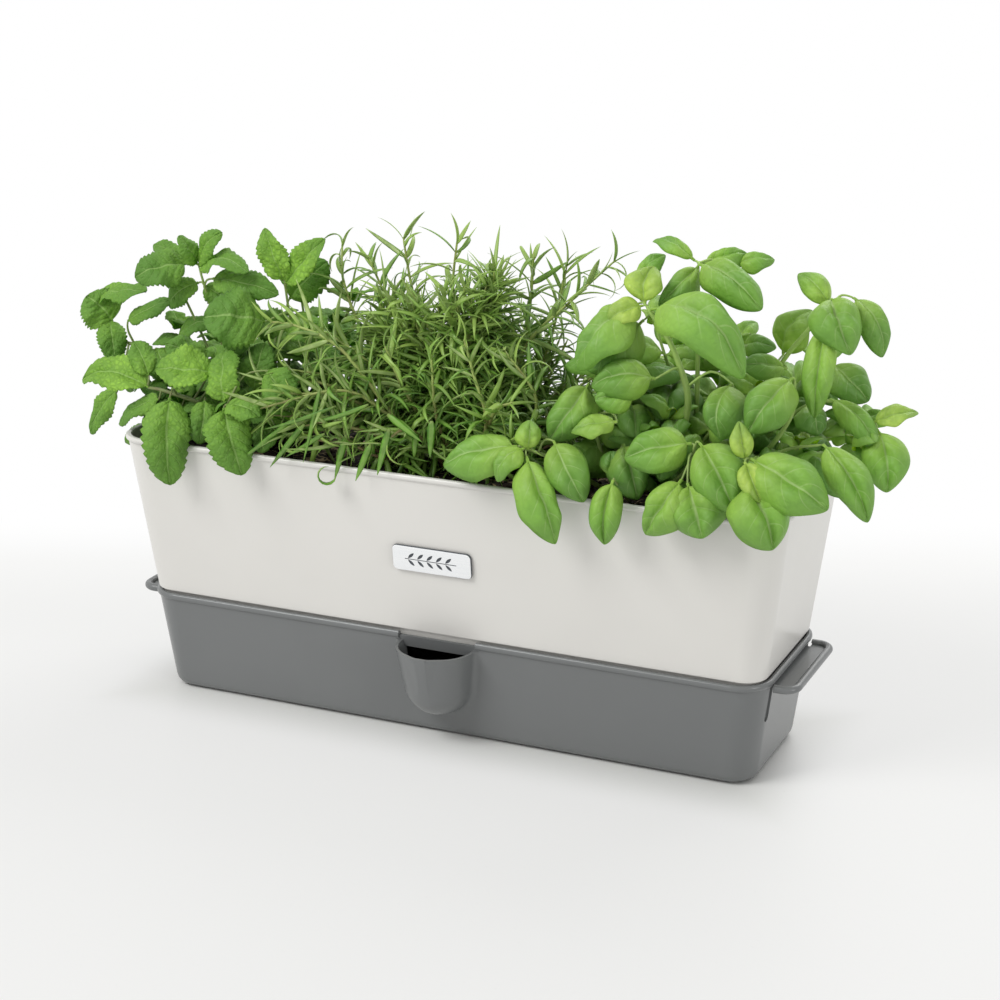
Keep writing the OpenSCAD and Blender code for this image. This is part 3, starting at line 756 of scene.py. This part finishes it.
def needle_plan(path, rng):
    """Base, direction, bend, length, curl, width and youth of each needle on one stem."""
    rows = []
    steps = np.linalg.norm(np.diff(path, axis=0), axis=1)
    total = steps.sum()
    at = 0.12 * total
    turn = rng.uniform(0, 6.28)
    walked = np.concatenate([[0], np.cumsum(steps)])
    while at < total:
        share = at / total
        base = np.array([np.interp(at, walked, path[:, k]) for k in range(3)])
        ahead = np.array([np.interp(min(at + 2 * MM, total), walked, path[:, k]) for k in range(3)])
        behind = np.array([np.interp(max(at - 2 * MM, 0), walked, path[:, k]) for k in range(3)])
        stem = unit(ahead - behind)
        one = unit(np.cross(stem, (0.2, 0.1, 0.97) if abs(stem[2]) < 0.9 else (1, 0.1, 0)))
        two = np.cross(stem, one)
        for pair in (0, math.pi):
            a = turn + pair + rng.uniform(-0.6, 0.6)
            out = one * math.cos(a) + two * math.sin(a)
            open_angle = math.radians(rng.uniform(28, 92)) * (1.05 - 0.5 * share**3)
            direction = stem * math.cos(open_angle) + out * math.sin(open_angle)
            back = out * math.cos(open_angle) - stem * math.sin(open_angle)
            wander = np.array([rng.uniform(-1, 1) for _ in range(3)])
            bend = unit(0.6 * back + 1.0 * wander - 0.3 * UP)
            bend = unit(bend - np.dot(bend, direction) * direction)
            curl = rng.uniform(0.15, 1.3) if rng.random() > 0.28 else rng.uniform(1.3, 3.4)
            size = rng.uniform(20, 38) * (1 - 0.25 * share**5) * MM
            width = rng.uniform(2.3, 4.0) * (1 - 0.2 * share**5) * MM
            youth = 0.5 * share**4 + rng.uniform(-0.1, 0.6)
            rows.append((base, direction, bend, size, curl, width, youth))
        turn += math.pi / 2
        at += rng.uniform(4.0, 6.4) * MM
    return rows


def add_needles(mesh, plan, rows=8, sides=6):
    """Every needle at once: a flattened, curved, tapering blade on a circular arc."""
    base, ahead, bend = (np.array([p[k] for p in plan])[:, None, None, :] for k in range(3))
    size, curl, width, youth = (np.array([p[k] for p in plan])[:, None, None] for k in range(3, 7))
    t = np.linspace(0, 1, rows)[None, :, None]
    turn = np.linspace(0, 2 * math.pi, sides, endpoint=False)[None, None, :]
    angle = curl * t
    along = size * np.sin(angle) / curl
    aside = size * (1 - np.cos(angle)) / curl
    across = np.cross(ahead, bend)
    normal = bend * np.cos(angle)[..., None] - ahead * np.sin(angle)[..., None]
    taper = np.clip(np.minimum(0.4 + 4 * t, 1.02 - t**3.2), 0.06, 1)
    half = width / 2 * taper
    points = (base + ahead * along[..., None] + bend * aside[..., None]
              + across * (half * np.cos(turn))[..., None] - normal * (0.3 * half * np.sin(turn))[..., None])
    values = np.zeros((len(plan), rows, sides, 3))
    values[..., 0] = t
    values[..., 1] = np.sin(turn)
    values[..., 2] = youth
    size_of_one = rows * sides
    faces = ring_faces(rows, sides)
    caps = np.array([range(sides - 1, -1, -1), range(size_of_one - sides, size_of_one)])
    starts = mesh.count + size_of_one * np.arange(len(plan))[:, None, None]
    mesh.points.append(points.reshape(-1, 3))
    mesh.values.append(values.reshape(-1, 3))
    mesh.faces.extend((faces + starts).reshape(-1, 4).tolist())
    mesh.faces.extend((caps + starts).reshape(-1, sides).tolist())
    mesh.count += len(plan) * size_of_one


def over_the_lip(row):
    """False for a needle that would run through the trough wall instead of over its lip."""
    base, direction, bend, size, curl = row[:5]
    tip = base + size * (direction * math.sin(curl) + bend * (1 - math.cos(curl))) / curl
    clears_lip = tip[2] > 169 * MM
    stays_inside = abs(tip[1]) < 60 * MM
    starts_outside = abs(base[1]) > 70 * MM
    return clears_lip or stays_inside or starts_outside


def rosemary_branch(name, lines, extra, needle, rng, twigs, rows):
    plan = list(extra)
    for points in lines:
        path = smooth_path(np.array(points) * MM, 9)
        add_tube(twigs, path, 1.4 * MM, 0.6 * MM, 7, 0.2)
        plan.extend(filter(over_the_lip, needle_plan(path, rng)))
    blades = Mesh()
    add_needles(blades, plan, rows)
    needles = blades.build(name, [needle], "rosemary")
    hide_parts("rosemary_foliage")


def rosemary(needle, bark):
    rng = random.Random("rosemary")
    twigs = Mesh()
    hanging = []
    for x, y, z, dx, dy, dz, curl, width in HANGING_NEEDLES:
        reach = np.array((dx, dy, dz)) * MM
        direction = unit(reach)
        across = np.cross(direction, (-0.6, 1.0, 0.1))
        looped = abs(curl) > 2
        bend = unit(across if looped else np.cross(across, direction))
        length = np.linalg.norm(reach) * (1.6 if looped else 1.0)
        hanging.append((np.array((x, y, z)) * MM, direction, bend, length, curl, width * MM, 0.0))
    rosemary_branch("rosemary_tips", ROSEMARY_STEMS, hanging, needle, rng, twigs, 11)
    rosemary_branch("rosemary_bush", rosemary_fill(rng), (), needle, rng, twigs, 8)
    stalks = twigs.build("rosemary_twigs", [bark], "rosemary")
    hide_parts("rosemary_stems")


# ---------------------------------------------------------------- compost and felt


def hanging_tail(co):
    """The tongue of a felt wick sways a little below the trough floor."""
    start, reach = 53 * MM, 46 * MM
    t = np.clip((start - co[:, 2]) / reach, 0, 1)
    co[:, 1] += 3.0 * MM * np.sin(math.pi * t) * np.sign(co[:, 0] + 1e-6)
    return co


def scatter_crumbs(name, node, look, count, size):
    """Loose crumbs and chips of bark on top of a compost surface."""
    rng = random.Random(name)
    low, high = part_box(node)
    ico = []
    g = (1 + 5**0.5) / 2
    for a, b in ((1, g), (1, -g), (-1, g), (-1, -g)):
        ico += [(0, a, b), (a, b, 0), (b, 0, a)]
    ico = np.array(ico) / math.hypot(1, g)
    faces = hull_faces(ico)
    mesh = Mesh()
    for _ in range(count):
        x = rng.uniform(low[0] + 0.012, high[0] - 0.012)
        y = rng.uniform(low[1] + 0.008, high[1] - 0.008)
        stretch = np.array([rng.uniform(0.5, 1.6) for _ in range(3)]) * rng.uniform(0.5, 1.0) * size
        a = rng.uniform(0, 3.14)
        turned = ico * stretch * (1 + 0.25 * np.array([rng.uniform(-1, 1) for _ in range(12)])[:, None])
        spun = np.stack([turned[:, 0] * math.cos(a) - turned[:, 1] * math.sin(a),
                         turned[:, 0] * math.sin(a) + turned[:, 1] * math.cos(a), turned[:, 2]], axis=1)
        mesh.add(spun + np.array((x, y, high[2] - 0.5 * MM)), faces, np.zeros((12, 3)))
    obj = mesh.build(name, [look], frame_body(node))
    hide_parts(node)


def hull_faces(points):
    """Triangles of a small convex solid, facing out."""
    faces = []
    n = len(points)
    for i in range(n):
        for j in range(n):
            for k in range(n):
                if not (i < j and i < k and j != k):
                    continue
                normal = np.cross(points[j] - points[i], points[k] - points[i])
                if np.all((points - points[i]) @ normal <= 1e-9):
                    faces.append((i, j, k))
    return np.array(faces)


# ---------------------------------------------------------------- surroundings


def pale_floor():
    """Speckled pale worktop. It glows a little away from the planter and fades to white behind it."""
    look = Look("pale_floor")
    speckle = look.math("MULTIPLY", look.fit(look.noise(420, 4), 0.62, 0.75), 0.12)
    look.set(Base_Color=look.mix(speckle, rgb(226, 226, 223), rgb(170, 170, 168)), Roughness=0.5)
    half_length, half_depth = 0.186, 0.047
    x, y, _ = look.add("SeparateXYZ", Vector=look.place).outputs
    past_end = look.math("SUBTRACT", look.math("ABSOLUTE", x), half_length)
    past_side = look.math("SUBTRACT", look.math("ABSOLUTE", y), half_depth)
    calm = look.fit(look.math("MAXIMUM", past_end, past_side), 0.0, 0.05, 0.0, 0.6)
    behind = look.add("VectorMath", {"operation": "DOT_PRODUCT"}, Vector=look.place)
    behind.inputs[1].default_value = (-math.sin(VIEW_AZIMUTH), math.cos(VIEW_AZIMUTH), 0)
    far = look.add("VectorMath", {"operation": "LENGTH"}, Vector=look.place).outputs["Value"]
    white = look.math("MAXIMUM", look.fit(behind.outputs["Value"], 0.14, 0.36), look.fit(far, 0.7, 1.5))
    strength = look.math("MULTIPLY_ADD", white, 0.13, 0.87)
    glow = look.add("Emission", Color=(1, 1, 1, 1), Strength=strength)
    look.blend_in(glow, look.math("MAXIMUM", white, calm))
    return look


def add_floor():
    wide = 6.0
    corners = [(-wide, -wide, 0), (wide, -wide, 0), (wide, wide, 0), (-wide, wide, 0)]
    mesh = bpy.data.meshes.new("floor")
    mesh.from_pydata(corners, [], [(0, 1, 2, 3)])
    mesh.materials.append(pale_floor().material)
    floor = bpy.data.objects.new("floor", mesh)
    bpy.context.scene.collection.objects.link(floor)


def add_room():
    """A white room: full strength to the camera, 0.95 in reflections and 0.55 as soft light."""
    world = bpy.data.worlds.new("soft_room")
    world.use_nodes = True
    nodes_of, links = world.node_tree.nodes, world.node_tree.links
    path = nodes_of.new("ShaderNodeLightPath")
    glossy = nodes_of.new("ShaderNodeMath")
    glossy.operation = "MULTIPLY_ADD"
    glossy.inputs[1].default_value = 0.4
    glossy.inputs[2].default_value = 0.55
    seen = nodes_of.new("ShaderNodeMath")
    seen.operation = "MAXIMUM"
    sky = nodes_of["Background"]
    sky.inputs["Color"].default_value = (1, 1, 1, 1)
    links.new(path.outputs["Is Glossy Ray"], glossy.inputs[0])
    links.new(path.outputs["Is Camera Ray"], seen.inputs[0])
    links.new(glossy.outputs[0], seen.inputs[1])
    links.new(seen.outputs[0], sky.inputs["Strength"])
    bpy.context.scene.world = world
    bpy.context.scene.view_settings.view_transform = "Standard"


def add_lamp(name, place, size, power):
    """A square soft lamp that points at the middle of the planter."""
    data = bpy.data.lights.new(name, "AREA")
    data.shape = "SQUARE"
    data.size = size
    data.energy = power
    lamp = bpy.data.objects.new(name, data)
    lamp.location = place
    lamp.rotation_euler = (Vector((0, 0, 0.12)) - lamp.location).to_track_quat("-Z", "Y").to_euler()
    bpy.context.scene.collection.objects.link(lamp)


def add_camera():
    """The camera looks at the planter from the front right and above."""
    elevation = math.radians(18.0)
    distance = 1.335
    aim = Vector((0.0162, 0.0, 0.136))
    level = math.cos(elevation)
    back = Vector((math.sin(VIEW_AZIMUTH) * level, -math.cos(VIEW_AZIMUTH) * level, math.sin(elevation)))
    data = bpy.data.cameras.new("camera")
    data.sensor_width = 36
    data.lens = 80.24
    camera = bpy.data.objects.new("camera", data)
    camera.location = aim + back * distance
    camera.rotation_euler = back.to_track_quat("Z", "Y").to_euler()
    bpy.context.scene.collection.objects.link(camera)
    bpy.context.scene.camera = camera


# ---------------------------------------------------------------- the planter

finish_cad("planter_trough", moulded_plastic("ivory_plastic", rgb(216, 214, 209), rgb(212, 210, 205), 0.285))
finish_cad("reservoir_tray", moulded_plastic("grey_plastic", rgb(111, 113, 113), rgb(107, 109, 109), 0.24))
finish_cad("tray_feet", rubber(), 0.4 * MM)
finish_cad("nameplate_tape", rubber(), 0.1 * MM)
plate_low, plate_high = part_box("nameplate")
out_of_plate = Vector((0, -math.cos(WALL_LEAN), -math.sin(WALL_LEAN)))
finish_cad("nameplate", polished_metal(Vector((0, plate_low.y, plate_high.z)), out_of_plate))

grey_felt = felt()
for side in ("left", "middle", "right"):
    soften("wick_mat_" + side, "felt_wick_" + side, grey_felt, 1.2 * MM, 0.3 * MM, 0.25 * MM, hanging_tail)

loose_compost = compost("loose_compost", False)
rooty_compost = compost("rooty_compost", True)
soften("potting_compost", "compost_bed", loose_compost, 2.4 * MM, 1.2 * MM, 1.0 * MM)
scatter_crumbs("compost_crumbs", "potting_compost", loose_compost, 700, 1.6 * MM)
for herb in HERBS:
    soften(herb + "_root_ball", herb + "_roots", rooty_compost, 2.2 * MM, 1.0 * MM, 0.8 * MM)

mint_above = leaf_look("mint_above", (rgb(64, 132, 18), rgb(112, 188, 28), rgb(152, 222, 38)),
                       rgb(146, 202, 72), MINT, 0.5, 330, 0.75)
mint_below = leaf_look("mint_below", (rgb(92, 140, 46), rgb(120, 168, 56), rgb(156, 204, 70)),
                       rgb(172, 208, 120), MINT, 0.7, 330, 0.4)
basil_above = leaf_look("basil_above", (rgb(64, 134, 18), rgb(144, 216, 30), rgb(214, 240, 60)),
                        rgb(172, 214, 112), BASIL, 0.24, 260, 0.1)
basil_below = leaf_look("basil_below", (rgb(102, 150, 60), rgb(138, 190, 72), rgb(194, 222, 98)),
                        rgb(188, 216, 140), BASIL, 0.55, 260, 0.1)
mint_stalk = stem_look("mint_stalk", rgb(96, 104, 60), rgb(142, 168, 88), rgb(104, 76, 66), 0.16, 0.26)
basil_stalk = stem_look("basil_stalk", rgb(140, 160, 92), rgb(158, 190, 96), rgb(120, 140, 76), 0.16, 0.27)
bark = stem_look("rosemary_bark", rgb(104, 86, 58), rgb(158, 176, 94), rgb(122, 108, 66), 0.165, 0.225)

mint_looks = [mint_above, mint_below]
basil_looks = [basil_above, basil_below]
leafy_herb("mint", MINT, MINT_LEAVES, MINT_STEMS, MINT_SHOOTS, 30, mint_looks, mint_stalk, 0.14)
leafy_herb("basil", BASIL, BASIL_LEAVES, BASIL_STEMS, BASIL_SHOOTS, 36, basil_looks, basil_stalk, 0.0)
rosemary(needle_look(), bark)

add_floor()
add_room()
add_lamp("key", (-0.9, -1.2, 1.5), 0.9, 24)
add_lamp("fill", (2.2, -0.9, 0.45), 0.8, 9)
add_lamp("back", (0.3, 1.2, 1.3), 1.2, 14)
add_camera()
